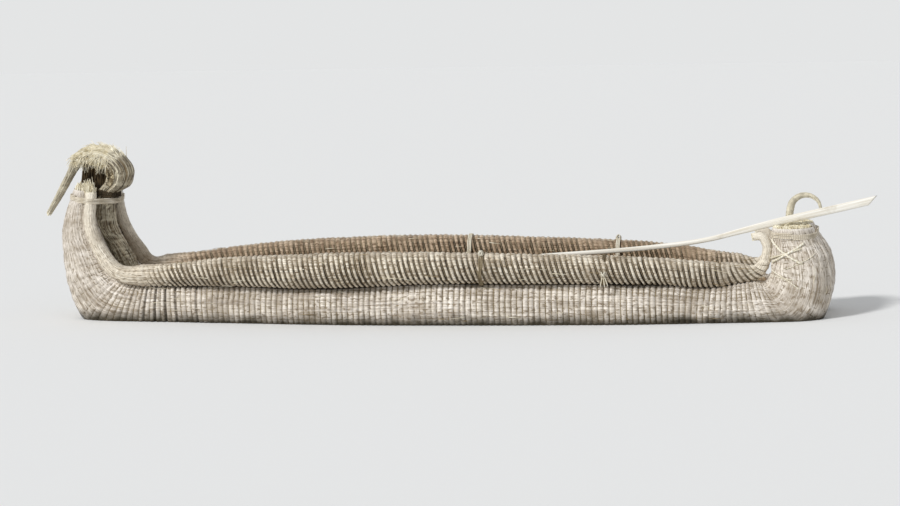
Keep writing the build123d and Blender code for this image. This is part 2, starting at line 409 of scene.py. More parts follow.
# A plain tube along a run: squared a little where it is planed, its far end cut on a slant
def plainTube(name, run, tube, material, nodes=()):
    mesh = tubeSheet(tube["rings"], tube["columns"], run["length"], tube["girth"])
    for vert in mesh.verts:
        length = (vert.co.x + 0.5) * run["length"]
        angle = fullTurn * (vert.co.y + 0.5)
        cosine = math.cos(angle)
        sine = math.sin(angle)
        cosine = math.copysign(abs(cosine) ** tube["square"], cosine)
        sine = math.copysign(abs(sine) ** tube["square"], sine)
        slant = tube["slant"] * (1 + sine) / 2
        fade = max(0.0, 1 - (run["length"] - length) / tube["slantReach"])
        middle, along, across, up, wide, deep = readRun(run, length - slant * fade**2)
        bow = tube["wander"] * waver(length * 2, 3, 7)
        vert.co = middle + across * (wide * cosine + bow) + up * (deep * sine + bow)
    bmesh.ops.remove_doubles(mesh, verts=mesh.verts, dist=0.0001)
    closeEnds(mesh, tube["endBulge"], 0)
    finishPiece(name, mesh, [material], nodes)


# Materials
def paint(red, green, blue):
    values = []
    for part in (red, green, blue):
        part = part / 255
        values.append(part / 12.92 if part <= 0.04045 else ((part + 0.055) / 1.055) ** 2.4)
    return (*values, 1.0)


def feedInputs(tree, node, inputs):
    for socket, value in dict(inputs).items():
        if isinstance(value, bpy.types.NodeSocket):
            tree.links.new(value, node.inputs[socket])
        else:
            node.inputs[socket].default_value = value


def addNode(tree, kind, inputs=(), **settings):
    node = tree.nodes.new("ShaderNode" + kind)
    for key, value in settings.items():
        setattr(node, key, value)
    feedInputs(tree, node, inputs)
    return node


def addMath(tree, operation, first, second=0.0):
    return addNode(tree, "Math", {0: first, 1: second}, operation=operation).outputs[0]


def times(tree, first, second):
    return addMath(tree, "MULTIPLY", first, second)


def addMix(tree, factor, first, second, blend="MIX"):
    inputs = {0: factor, 6: first, 7: second}
    return addNode(tree, "Mix", inputs, data_type="RGBA", blend_type=blend).outputs[2]


def addRamp(tree, factor, low, high):
    return addNode(tree, "MapRange", {0: factor, 1: low, 2: high}).outputs[0]


def addNoise(tree, place, stretch, scale, detail=3.0, rough=0.55):
    mapped = addNode(tree, "Mapping", {"Vector": place, "Scale": stretch})
    return addNode(tree, "TexNoise", {
        "Vector": mapped.outputs[0],
        "Scale": scale,
        "Detail": detail,
        "Roughness": rough,
    }).outputs["Fac"]


def newGroup(name, inputs, outputs):
    group = bpy.data.node_groups.new(name, "ShaderNodeTree")
    for side, sockets in (("INPUT", inputs), ("OUTPUT", outputs)):
        for kind, labels in sockets.items():
            for label in labels:
                group.interface.new_socket(name=label, in_out=side, socket_type="NodeSocket" + kind)
    given = group.nodes.new("NodeGroupInput").outputs
    out = group.nodes.new("NodeGroupOutput").inputs
    return group, given, out


# The waterline leaves a dark damp band with a ragged edge
def addWetBand(tree, place, amount):
    height = addNode(tree, "SeparateXYZ", {0: place}).outputs[2]
    edge = times(tree, addNoise(tree, place, (1, 1, 1), 9.0, 4.0), 0.10)
    wet = addRamp(tree, addMath(tree, "SUBTRACT", height, edge), 0.035, -0.040)
    return times(tree, wet, amount)


# Dry reeds laid side by side: streaks along them, tone from stalk to stalk and turn to turn
def makeReedGroup():
    group, given, out = newGroup(
        "weatheredReeds",
        {
            "Vector": ["Run", "Place"],
            "Color": ["Light", "Middle", "Dark"],
            "Float": ["Groove", "GrooveShade", "Bleach_and_light", "Trodden", "Stain"],
        },
        {"Color": ["Color"], "Float": ["Roughness", "Height"]},
    )
    stalks = addNoise(group, given["Run"], (1.2, 48, 1), 1.0, 2.0)
    fine = addNoise(group, given["Run"], (4.0, 170, 1), 1.0, 3.0)
    turns = addNoise(group, given["Run"], (24, 3.0, 1), 1.0, 2.0)
    tufts = addNoise(group, given["Run"], (26, 52, 1), 1.0, 3.0)
    patches = addNoise(group, given["Place"], (1, 1, 1), 3.2, 5.0, 0.65)
    tone = addMix(group, addRamp(group, stalks, 0.34, 0.64), given["Dark"], given["Middle"])
    # pattern, where it starts and is full, how strong, its colour
    for pattern, low, high, amount, color in (
        (fine, 0.44, 0.70, 1.0, "Light"),
        (turns, 0.46, 0.70, 0.45, "Light"),
        (turns, 0.46, 0.28, 0.35, "Dark"),
        (tufts, 0.52, 0.63, 0.85, "Dark"),
        (patches, 0.54, 0.36, 0.50, "Dark"),
    ):
        share = times(group, addRamp(group, pattern, low, high), amount)
        tone = addMix(group, share, tone, given[color])
    # Paler where bleached, and on a hood's top also as painted light
    tone = addMix(group, times(group, given["Bleach_and_light"], 0.62), tone, given["Light"])
    tone = addMix(group, given["Trodden"], tone, paint(188, 162, 136), "MULTIPLY")
    # Painted shade: dark in the rope's groove and in the clefts, and here and there between the
    # stalks beside it
    stalkShade = addRamp(group, tufts, 0.60, 0.74)
    near = times(group, stalkShade, addRamp(group, given["Groove"], 0.0, 0.35))
    depth = times(group, addRamp(group, given["Groove"], 0.30, 1.05), given["GrooveShade"])
    depth = addMath(group, "MAXIMUM", depth, times(group, near, 0.55))
    tone = addMix(group, depth, tone, paint(50, 42, 32))
    wet = addWetBand(group, given["Place"], given["Stain"])
    tone = addMix(group, wet, tone, paint(62, 56, 42))
    relief = times(group, stalks, 0.8)
    for pattern, amount in ((fine, 0.6), (tufts, 0.5)):
        relief = addMath(group, "ADD", relief, times(group, pattern, amount))
    group.links.new(tone, out["Color"])
    group.links.new(addRamp(group, wet, 1.4, -1.4), out["Roughness"])
    group.links.new(relief, out["Height"])
    return group


# Grass rope: strands that twist round the rope's run
def makeRopeGroup():
    group, given, out = newGroup(
        "grassRope",
        {"Vector": ["Run", "Place"], "Color": ["Light", "Dark"]},
        {"Color": ["Color"], "Float": ["Height"]},
    )
    split = addNode(group, "SeparateXYZ", {0: given["Run"]}).outputs
    lay = times(group, split[0], 330.0)
    lay = addMath(group, "ADD", lay, times(group, split[1], 420.0))
    strand = addRamp(group, addMath(group, "SINE", lay), -1.0, 1.0)
    dust = addNoise(group, given["Place"], (1, 1, 1), 14.0, 3.0)
    tone = addMix(group, strand, given["Dark"], given["Light"])
    tone = addMix(group, addRamp(group, dust, 0.45, 0.70), tone, given["Dark"])
    tone = addMix(group, addWetBand(group, given["Place"], 1.0), tone, paint(54, 48, 35))
    group.links.new(tone, out["Color"])
    group.links.new(strand, out["Height"])
    return group


reedGroup = makeReedGroup()
ropeGroup = makeRopeGroup()


def newMaterial(name):
    material = bpy.data.materials.new(name)
    material.use_nodes = True
    tree = material.node_tree
    shader = tree.nodes["Principled BSDF"]
    shader.inputs["Specular IOR Level"].default_value = 0.25
    return material, tree, shader


def addRun(tree):
    return addNode(tree, "UVMap", uv_map="reedRun").outputs[0]


def addPlace(tree):
    return addNode(tree, "TexCoord").outputs["Object"]


def addBump(tree, shader, height, distance, strength):
    inputs = {"Height": height, "Distance": distance, "Strength": strength}
    bump = addNode(tree, "Bump", inputs)
    tree.links.new(bump.outputs["Normal"], shader.inputs["Normal"])


def reedMaterial(name, light, middle, dark, grooveShade, stain):
    material, tree, shader = newMaterial(name)
    given = {
        "Run": addRun(tree),
        "Place": addPlace(tree),
        "Light": paint(*light),
        "Middle": paint(*middle),
        "Dark": paint(*dark),
        "GrooveShade": grooveShade,
        "Stain": stain,
    }
    for mask in ("Groove", "Bleach_and_light", "Trodden"):
        given[mask] = addNode(tree, "Attribute", attribute_name=mask.lower()).outputs["Fac"]
    reeds = addNode(tree, "Group", given, node_tree=reedGroup).outputs
    feedInputs(tree, shader, {"Base Color": reeds["Color"], "Roughness": reeds["Roughness"]})
    addBump(tree, shader, reeds["Height"], 0.006, 0.8)
    return material


def ropeMaterial(name, light, dark):
    material, tree, shader = newMaterial(name)
    given = {
        "Run": addRun(tree),
        "Place": addPlace(tree),
        "Light": paint(*light),
        "Dark": paint(*dark),
    }
    rope = addNode(tree, "Group", given, node_tree=ropeGroup).outputs
    feedInputs(tree, shader, {"Base Color": rope["Color"], "Roughness": 0.9})
    addBump(tree, shader, rope["Height"], 0.002, 0.6)
    return material


# Sawn reed ends: pale pith in a brown rind
def cutReedMaterial(name):
    material, tree, shader = newMaterial(name)
    place = addPlace(tree)
    cells = addNode(tree, "TexVoronoi", {"Vector": place, "Scale": 62.0}).outputs["Distance"]
    patches = addNoise(tree, place, (1, 1, 1), 11.0)
    tone = addMix(tree, addRamp(tree, cells, 0.20, 0.62), paint(206, 192, 158), paint(92, 76, 52))
    tone = addMix(tree, addRamp(tree, patches, 0.48, 0.70), tone, paint(128, 116, 92))
    feedInputs(tree, shader, {"Base Color": tone, "Roughness": 0.9})
    addBump(tree, shader, cells, 0.006, 0.8)
    return material


def strawMaterial(name, light, dark):
    material, tree, shader = newMaterial(name)
    patches = addNoise(tree, addPlace(tree), (1, 1, 1), 24.0)
    tone = addMix(tree, addRamp(tree, patches, 0.35, 0.65), paint(*dark), paint(*light))
    feedInputs(tree, shader, {"Base Color": tone, "Roughness": 0.7})
    return material


def oarMaterial(name):
    material, tree, shader = newMaterial(name)
    grain = addNoise(tree, addRun(tree), (2.5, 130, 1), 1.0, 4.0)
    wear = addNoise(tree, addPlace(tree), (1, 1, 1), 7.0, 4.0)
    tone = addMix(tree, addRamp(tree, grain, 0.38, 0.62), paint(220, 213, 197), paint(246, 243, 235))
    tone = addMix(tree, addRamp(tree, wear, 0.60, 0.85), tone, paint(190, 180, 160))
    feedInputs(tree, shader, {"Base Color": tone, "Roughness": addRamp(tree, grain, -0.6, 1.1)})
    addBump(tree, shader, grain, 0.0015, 0.5)
    return material


# Reeds: pale, middle and dark stalks, how dark the painted shade in the rope's notches is, how wet
# the waterline
hullReeds = reedMaterial("hullReeds", (252, 245, 236), (230, 220, 204), (138, 123, 103), 0.45, 1.0)
rollReeds = reedMaterial("rollReeds", (255, 248, 232), (232, 218, 194), (128, 109, 84), 1.8, 0.0)
floorReeds = reedMaterial("floorReeds", (200, 172, 138), (156, 130, 100), (96, 77, 57), 0.70, 0.0)
# The head's middle and dark tones are darkened as painted shade on its aft side; the tail shares
# them
headReeds = reedMaterial("headReeds", (250, 242, 216), (136, 118, 88), (68, 55, 38), 0.85, 0.0)
cutReeds = cutReedMaterial("cutReeds")
# Ropes and straw: light and dark
grassRope = ropeMaterial("grassRope", (176, 160, 130), (96, 83, 62))
wornRope = ropeMaterial("wornRope", (238, 229, 212), (184, 172, 150))
# Dark: painted shade for the ring of shadow under the head
shadeRope = ropeMaterial("shadeRope", (104, 88, 62), (44, 36, 26))
paleRope = ropeMaterial("paleRope", (252, 248, 236), (206, 196, 170))
paleStraw = strawMaterial("paleStraw", (252, 246, 226), (204, 192, 160))
dullStraw = strawMaterial("dullStraw", (168, 148, 112), (96, 80, 56))
# Near black: painted shade in the crevice under each roll
jointShadeReeds = strawMaterial("jointShadeReeds", (62, 51, 38), (36, 29, 21))
# Dark straw: painted shade for the hollow under the hood
shadedStraw = strawMaterial("shadedStraw", (96, 80, 56), (46, 37, 26))
oarWood = oarMaterial("oarWood")
print("materials made")

# Hull bundles
hullBundle = {
    "pitch": 0.040,
    "ringsPerTurn": 6,
    "grooveEdge": 4.5,
    "endPinch": 0.6,
    "grip": 1.0,
    "unevenness": 0.55,
    "lean": 0.0,
    "leanReach": 0.6,
    "wornLitTop": 0.0,
    # from an end: how far in the winding is faint, where it is at its full strength, how faint
    "calm": {"stern": (0.40, 1.05, 0.22), "bow": (0.45, 1.15, 0.16)},
    "trodden": 0.8,
    "creases": [],
    "creaseWidth": 0.013,
    "looseFrom": 0.0,
    "cleft": 0.0,
    "columns": 72,
    "girth": 1.6,
    "fullRadius": 0.16,
    "pinch": 0.009,
    "lump": 0.013,
    "stalks": 12,
    "stalkRelief": 0.008,
    "wrapRelief": 0.005,
    "endBulge": 0.010,
    "bleachReach": 0.02,
    "ropeRadius": 0.0040,
    "ropeProud": 0.10,
    "ropeSink": 0.006,
    "ropeSteps": 32,
    "ropeSides": 5,
    "seed": 1.0,
}


def hullRun(side):
    return makeRun([
        stationSection(station, side * station["wide"], 0, station["wide"], station["deep"])
        for station in stations
    ])


# Deep folds by the heel of the bow: how far from the bow's end, how deep
hullCreases = {
    "port": [(1.16, 1.0), (1.24, 1.9), (1.32, 2.4), (1.40, 1.7), (1.56, 1.0), (2.62, 1.2)],
    "starboard": [(1.20, 1.5), (1.36, 2.0), (1.92, 1.2)],
}
hulls = {}
for side, name in bothSides:
    bundle = dict(hullBundle, seed=4.0 + side, creases=hullCreases[name])
    hulls[side] = (hullRun(side), bundle)
    nodes = [f"{name}_hull_bundle"]
    woundBundle(f"{name}Hull", *hulls[side], hullReeds, grassRope, "hull_reed", nodes)
print("hull bundles made")

# Gunwale rolls, with their curled stern ends
rollBundle = dict(
    hullBundle,
    pitch=0.038, grooveEdge=2.2, columns=48, girth=0.8, fullRadius=0.08, pinch=0.015, lump=0.006,
    stalks=7, stalkRelief=0.005, wrapRelief=0.004, endBulge=0.006, bleachReach=0.30,
    ropeRadius=0.0040, ropeSteps=24, lean=0.026, wornLitTop=0.55,
    calm={"stern": (0.15, 0.50, 0.20), "bow": (0.70, 1.20, 0.12)}, trodden=0.7,
)
curl = {
    # offset from the stern end, level, side, heading, radius
    "rows": [
        (0.532, 0.566, 0.190, 165, 0.027),
        (0.480, 0.569, 0.190, 195, 0.031),
        (0.440, 0.520, 0.190, 255, 0.035),
        (0.441, 0.430, 0.195, 277, 0.038),
        (0.482, 0.345, 0.210, 318, 0.048),
    ],
}


def rollRun(side):
    sections = []
    for offset, level, out, heading, radius in curl["rows"]:
        sections.append(sideSection(hullStern + offset, side * out, level, heading, radius, radius))
    for station in rollStations:
        out, up = rollPlace(station)
        sections.append(stationSection(station, side * out, up, station["roll"], station["roll"]))
    return makeRun(sections)


rolls = {}
for side, name in bothSides:
    rolls[side] = (rollRun(side), dict(rollBundle, seed=9.0 + side))
    nodes = [f"{name}_roll_{length}" for length in ("stern", "aft", "fore", "bow")]
    woundBundle(f"{name}Roll", *rolls[side], rollReeds, grassRope, "roll_reed", nodes)

# Reeds packed into the joint between each hull bundle and its roll, coloured near black as painted
# shade for the dark line under the roll
joint = {
    "halfWidth": 0.062,
    "halfDepth": 0.016,
    "rings": 240,
    "columns": 14,
    "girth": 0.10,
    "square": 1.0, "slant": 0.0, "slantReach": 0.35, "wander": 0.0, "endBulge": 0.0,
}


def jointRun(side):
    sections = []
    for station in rollStations:
        out = station["wide"] * math.sin(station["seat"])
        up = station["deep"] * math.cos(station["seat"])
        across = station["across"] * (side * up * station["wide"] / station["deep"])
        across -= station["up"] * (out * station["deep"] / station["wide"])
        share = station["roll"] / boat["rollRadius"]
        sections.append(sectionAt(
            stationPoint(station, side * (station["wide"] + out), up),
            station["along"],
            across.normalized(),
            joint["halfWidth"] * share,
            joint["halfDepth"] * share,
        ))
    return makeRun(sections)


for side, name in bothSides:
    plainTube(f"{name}Joint", jointRun(side), joint, jointShadeReeds)
print("gunwale rolls made")

# Floor bundle
floorBundle = dict(
    hullBundle,
    columns=40, girth=0.9, fullRadius=0.10, pinch=0.007, stalks=9, ropeSteps=20, seed=21.0,
    calm={}, trodden=0.0,
)


def heartSection(station):
    wide = boat["heartWidth"] * station["wide"]
    deep = boat["heartDepth"] * station["deep"]
    return stationSection(station, 0, boat["heartRise"] * station["deep"], wide, deep)


floorRun = makeRun([
    heartSection(station) for station in stations[boat["sternHeel"]:boat["bowHeel"] + 1]
])
woundBundle("floor", floorRun, floorBundle, floorReeds, grassRope, "floor_reed", ["heart_bundle"])
print("floor bundle made")

# Figurehead: the neck, the head and the long beak in one bundle
headBundle = dict(
    hullBundle,
    pitch=0.034, columns=88, girth=0.6, fullRadius=0.09, grip=0.30, pinch=0.009, lump=0.010,
    stalks=11, stalkRelief=0.008, endBulge=0.004, ropeRadius=0.0030, ropeSteps=22, seed=33.0,
    sheaves=8, cleft=0.011, cleftEdge=9, hoodLitLevels=(1.07, 1.20), beakBleach=0.45,
    calm={}, trodden=0.0,
)
figurehead = {
    "neckFootSeat": 0.195,
    "neckFootRadius": 0.075,
    "neckSeat": 0.136,
    "neckRadius": 0.085,
    "headSeat": 0.180,
    "turn": -10.0,
    # stops of its run: where its reeds break loose, and where hood and beak start and end
    "looseStop": 3,
    "hoodStops": (5, 7),
    "beakStops": (8, 10),
    # reach, level over the prow's tips, heading, half width, half depth
    "rows": [
        (0.042, -0.030, 92, 0.084, 0.084),
        (-0.042, 0.045, 95, 0.100, 0.096),
        (-0.063, 0.115, 84, 0.102, 0.098),
        (0.014, 0.208, 45, 0.096, 0.088),
        (0.125, 0.235, 0, 0.084, 0.074),
        (0.205, 0.236, -10, 0.070, 0.058),
        (0.276, 0.205, -45, 0.056, 0.046),
        (0.312, 0.145, -56, 0.044, 0.034),
        (0.403, -0.008, -56, 0.033, 0.028),
        (0.521, -0.186, -56, 0.020, 0.019),
    ],
}
neckFoot = stations[boat["neckFoot"]]
neckTop = stations[boat["neck"]]
headSections = [heartSection(stations[boat["bowHeel"]])]
for station, seat, radius in (
    (neckFoot, figurehead["neckFootSeat"], figurehead["neckFootRadius"]),
    (neckTop, figurehead["neckSeat"], figurehead["neckRadius"]),
):
    headSections.append(stationSection(station, 0, seat, radius, radius))
headRoot = stationPoint(stations[-1], 0, figurehead["headSeat"])
headYaw = math.radians(figurehead["turn"])
for reach, level, heading, wide, deep in figurehead["rows"]:
    headSections.append(sideSection(
        headRoot.x + reach * math.cos(headYaw),
        headRoot.y + reach * math.sin(headYaw),
        boat["prowHeight"] + level,
        heading, wide, deep, figurehead["turn"],
    ))
headRun = makeRun(headSections)
headBundle["looseFrom"] = headRun["stops"][figurehead["looseStop"]]
headBundle["hoodLengths"] = [headRun["stops"][i] for i in figurehead["hoodStops"]]
headBundle["beakLengths"] = [headRun["stops"][i] for i in figurehead["beakStops"]]
woundBundle("figurehead", headRun, headBundle, headReeds, grassRope, "head_reed", ["figurehead"])
print("figurehead made")

# Tail on the stub
tail = {
    "radius": 0.027,
    "tipRadius": 0.010,
    "bend": 0.108,
    "rise": 0.105,
    "forward": 0.017,
    "side": 0.060,
}
tailBundle = dict(
    hullBundle,
    pitch=0.030, columns=24, girth=0.14, fullRadius=0.03, grip=0.4, pinch=0.003, lump=0.003,
    stalks=3, stalkRelief=0.002, wrapRelief=0.001, endBulge=0.002, bleachReach=0.4,
    ropeRadius=0.0016, ropeSteps=14, seed=41.0, calm={}, trodden=0.0,
)
tailRootX = stations[0]["middle"].x + tail["forward"]
tailRootZ = boat["sternHeight"] - tail["radius"]
tailSections = [
    sideSection(tailRootX, tail["side"], tailRootZ, 90, tail["radius"], tail["radius"])
]
for turn in range(0, 181, 36):
    radius = tail["radius"] + (tail["tipRadius"] - tail["radius"]) * turn / 180
    tailSections.append(sideSection(
        tailRootX - tail["bend"] + tail["bend"] * math.cos(math.radians(turn)),
        tail["side"],
        boat["sternHeight"] + tail["rise"] + tail["bend"] * math.sin(math.radians(turn)),
        90 + turn, radius, radius,
    ))
tailRun = makeRun(tailSections)
woundBundle("tail", tailRun, tailBundle, headReeds, paleRope, "head_reed", ["stern_tail"])
print("tail made")

# Oar
oar = {
    "rings": 120,
    "columns": 24,
    "girth": 0.12,
    "square": 0.8,
    "slant": 0.060,
    "slantReach": 0.35,
    "wander": 0.003,
    "endBulge": 0.002,
    "poleRadius": 0.015,
    "lean": 50.0,
    "rest": 0.0003,
    # forward of the stub's front edge, side, level over the stub, half width, half depth
    "rows": [
        (1.177, 0.335, -0.146, 0.016, 0.016),
        (0.807, 0.278, -0.120, 0.016, 0.017),
        (0.397, 0.214, -0.068, 0.015, 0.018),
        (0.237, 0.188, -0.029, 0.013, 0.021),
        (0.000, 0.154, 0.0264, 0.012, 0.026),
        (-0.203, 0.127, 0.069, 0.012, 0.028),
        (-0.723, 0.064, 0.177, 0.010, 0.028),
    ],
}
restStation = stations[boat["oarRest"]]
restOut, restUp = rollPlace(restStation)
restReach = restStation["roll"] + oar["poleRadius"] + oar["rest"]
oarSections = [sideSection(
    restStation["middle"].x,
    restOut - restReach * math.sin(math.radians(oar["lean"])),
    restStation["middle"].z + restUp + restReach * math.cos(math.radians(oar["lean"])),
    180, oar["poleRadius"], oar["poleRadius"],
)]
stubFront = stations[0]["middle"].x + stations[0]["deep"]
for forward, out, level, wide, deep in oar["rows"]:
    level += boat["sternHeight"]
    oarSections.append(sideSection(stubFront + forward, out, level, 180, wide, deep))
plainTube("oarWhole", makeRun(oarSections), oar, oarWood, ["oar"])
print("oar made")


# Ropes round several bundles: turns laid on a tight outline
tightRope = {
    "sides": 6,
    "steps": 56,
    "sit": 0.8,
    "wander": 0.002,
    "runPerTurn": 1.2,
}


def tightOutline(circles, angle):
    way = Vector((math.cos(angle), math.sin(angle)))
    best = max(circles, key=lambda circle: circle[0] * way.x + circle[1] * way.y + circle[2])
    return Vector((best[0], best[1])) + way * best[2]


def ropeTurns(mesh, frameAt, circles, lashing, steps=tightRope["steps"]):
    middle, across, up, along = frameAt
    turns, radius = lashing["turns"], lashing["radius"]
    run = turns * tightRope["runPerTurn"]
    rope = tubeSheet(turns * steps, tightRope["sides"], run, fullTurn * radius)
    sit = radius * tightRope["sit"]
    for vert in rope.verts:
        wound = (vert.co.x + 0.5) * turns
        angle = fullTurn * wound
        spot = tightOutline(circles, angle)
        out = across * math.cos(angle) + up * math.sin(angle)
        height = lashing["rise"] * (wound / turns - 0.5)
        height += tightRope["wander"] * waver(wound * 5, radius * 900, 2)
        place = middle + across * spot.x + up * spot.y + along * height + out * sit
        vert.co = tubePoint(vert, place, out, along, radius)
    addTube(mesh, rope)


def addLashing(name, frameAt, circles, lashing, material, nodes=()):
    mesh = bmesh.new()
    ropeTurns(mesh, frameAt, circles, lashing)
    finishPiece(name, mesh, [material], nodes)


def blendStation(first, share):
    rows = zip(boat["rows"][first], boat["rows"][first + 1])
    return readStation([a if a is None else a + (b - a) * share for a, b in rows])


def frameOf(station, out=0.0, up=0.0):
    return stationPoint(station, out, up), station["across"], station["up"], station["along"]


# A thin tube along a line that starts one way and is drawn another
def addStalk(mesh, root, way, droop, length, radius, steps=5, taper=0.7):
    stalk = bmesh.new()
    bmesh.ops.create_grid(stalk, x_segments=steps, y_segments=3, size=0.5)
    aside = way.orthogonal().normalized()
    above = way.cross(aside)
    for vert in stalk.verts:
        share = vert.co.x + 0.5
        place = root + way * (length * share) + droop * (length * share * share)
        vert.co = tubePoint(vert, place, aside, above, radius * (1.1 - taper * share))
    addTube(mesh, stalk)


# A knot: loops round each other at a slant, with the rope's ends hanging out of it
def addKnot(mesh, place, out, up, knot, length):
    side = up.cross(out)
    for tip in knot["tips"]:
        turned = (side * math.cos(tip) + up * math.sin(tip)).normalized()
        lifted = out.cross(turned)
        middle = place + out * knot["radius"] * (1.2 + abs(tip))
        ropeTurns(mesh, (middle, turned, out, lifted), [(0, 0, knot["loop"])], knot, knot["steps"])
    root = place + out * knot["radius"]
    for lean in knot["ends"]:
        way = (up * -0.8 + side * lean + out * 0.45).normalized()
        addStalk(mesh, root, way, Vector((0, 0, -0.35)), length, knot["radius"], 7, 0.3)


# Roll ties: turns of rope, dull to port and pale to starboard, each tie with a pale knot
rollTies = {
    "radius": 0.0045,
    "turns": 3,
    "rise": 0.030,
    "gap": 0.001,
    "knotSeat": 0.008,
    # hull row, share of the way to the next, degrees from outboard up to the knot, its ends' length
    "port": [(6, 0.395, -8, 0.07), (7, 0.51, 62, 0.03)],
    "starboard": [(6, 0.395, 80, 0.03), (7, 0.82, 200, 0.04)],
    "knot": {
        "loop": 0.013, "radius": 0.005, "turns": 1, "rise": 0.002, "steps": 20,
        "tips": (-0.9, 0.0, 0.9), "ends": (-0.25, 0.15, 0.5),
    },
}
for side, name, material in ((port, "port", grassRope), (starboard, "starboard", paleRope)):
    mesh = bmesh.new()
    knots = bmesh.new()
    for first, share, turn, length in rollTies[name]:
        station = blendStation(first, share)
        out, up = rollPlace(station)
        frameAt = frameOf(station, side * out, up)
        ropeTurns(mesh, frameAt, [(0, 0, station["roll"] + rollTies["gap"])], rollTies)
        angle = math.radians(turn)
        way = station["across"] * (side * math.cos(angle)) + station["up"] * math.sin(angle)
        spot = frameAt[0] + way * (station["roll"] + rollTies["knotSeat"])
        addKnot(knots, spot, way, station["along"].cross(way) * side, rollTies["knot"], length)
    finishPiece(f"{name}TieRope", mesh, [material], [f"{name}_roll_ties"])
    finishPiece(f"{name}TieKnots", knots, [paleRope])
print("roll ties made")

# Lashing of the neck
neckLashing = {"share": 0.76, "radius": 0.005, "turns": 4, "rise": 0.040}
neck = blendStation(boat["neck"], neckLashing["share"])
neckOut, neckUp = rollPlace(neck)
circles = [(0, figurehead["neckSeat"], figurehead["neckRadius"])]
for side in (starboard, port):
    for across in (neck["deep"], 2 * neck["wide"] - neck["deep"]):
        circles.append((side * across, 0, neck["deep"]))
    circles.append((side * neckOut, neckUp, neck["roll"]))
addLashing("neckRope", frameOf(neck), circles, neckLashing, wornRope, ["neck_lashing"])

# The figurehead's own binding, where its reeds break loose into the head; its rope is dark as
# painted shade for the ring of shadow under the head
headBinding = {"radius": 0.0054, "turns": 4, "rise": 0.044, "gap": 0.002}
middle, along, across, up, wide, deep = readRun(headRun, headBundle["looseFrom"])
circles = [(0, 0, (wide + deep) / 2 + headBinding["gap"])]
addLashing("headBinding", (middle, across, up, along), circles, headBinding, shadeRope)

# Lashing of the stub, and ropes that cross on its sides
sternLashing = {
    "share": 0.22,
    "radius": 0.005,
    "turns": 4,
    "rise": 0.040,
    "steps": 40,
    "runLength": 0.25,
    "pinch": 0.2,
    "tuck": 0.016,
    "tuckFrom": 0.86,
    # metres from the stub's top and turn round the bundle, at each end, and the rope's radius
    "laid": [
        ((0.070, 0.21), (0.250, -0.02), 0.0085),
        ((0.095, -0.07), (0.250, 0.20), 0.0085),
        ((0.135, -0.04), (0.215, 0.22), 0.0070),
        ((0.330, 0.20), (0.420, -0.01), 0.0040),
        ((0.420, 0.22), (0.360, 0.02), 0.0032),
        ((0.170, -0.12), (0.300, 0.10), 0.0032),
    ],
}
stub = blendStation(0, sternLashing["share"])
stubRadius = min(stub["wide"], stub["deep"])
circles = []
for side in (starboard, port):
    for up in (stubRadius - stub["deep"], stub["deep"] - stubRadius):
        circles.append((side * (2 * stub["wide"] - stubRadius), up, stubRadius))
addLashing("sternRope", frameOf(stub), circles, sternLashing, wornRope, ["stern_lashing"])


# A rope laid across a bundle's skin, its ends tucked in among the reeds
def layRope(mesh, run, bundle, first, last, radius):
    def placeAt(share):
        length, turn = [start + (end - start) * share for start, end in zip(first, last)]
        place, normal, along = onBundle(run, bundle, length, turn, sternLashing["pinch"])
        return place, normal

    girth = fullTurn * radius
    rope = tubeSheet(sternLashing["steps"], tightRope["sides"], sternLashing["runLength"], girth)
    for vert in rope.verts:
        share = vert.co.x + 0.5
        place, normal = placeAt(share)
        way = (placeAt(share + 0.01)[0] - placeAt(share - 0.01)[0]).normalized()
        tucked = smoothStep(abs(2 * share - 1), sternLashing["tuckFrom"], 1.0)
        lift = radius * tightRope["sit"] - sternLashing["tuck"] * tucked
        vert.co = tubePoint(vert, place + normal * lift, normal, way.cross(normal), radius)
    addTube(mesh, rope)


mesh = bmesh.new()
for side in (port, starboard):
    for *ends, radius in sternLashing["laid"]:
        if side == starboard:
            ends = [(length, 0.5 - turn) for length, turn in ends]
        layRope(mesh, *hulls[side], *ends, radius)
finishPiece("crossedRopes", mesh, [paleRope])
print("lashings made")


# One seeded draw serves every loose reed
draw = random.Random(7)


def anyWay(spread):
    return Vector([draw.uniform(-spread, spread) for axis in range(3)])


# The head is a hood of loose reeds: frayed ends hang over its sides and forward over the beak.
# A fringe has a count, lies along the head and some turn round it, is drawn down and forward,
# stands proud, and its stalks have a length and a radius.
headStraw = {
    "top": {
        "count": 560, "along": (0.16, 0.80), "turn": (0.06, 0.44), "down": (0.05, 0.40),
        "forward": (0.5, 1.0), "proud": 0.16, "length": (0.04, 0.12), "radius": 0.0027,
    },
    "crest": {
        "count": 300, "along": (0.26, 0.60), "turn": (0.08, 0.42), "down": (-0.1, 0.2),
        "forward": (0.4, 1.0), "proud": 0.55, "length": (0.04, 0.085), "radius": 0.0027,
    },
    "portSide": {
        "count": 340, "along": (0.22, 0.82), "turn": (-0.03, 0.14), "down": (0.5, 1.1),
        "forward": (-0.2, 0.8), "proud": 0.25, "length": (0.03, 0.08), "radius": 0.0026,
    },
}
headStraw["starboardSide"] = dict(headStraw["portSide"], turn=(0.36, 0.53))
# A curtain of dark straw hanging inside the hood on its starboard side: painted shade for the hollow
# under the hood
headShadeCurtain = {
    "count": 760, "along": (0.14, 0.80), "turn": (0.52, 0.80), "down": (1.2, 1.8),
    "forward": (-0.1, 0.2), "proud": 0.0, "length": (0.10, 0.20), "radius": 0.0042,
}


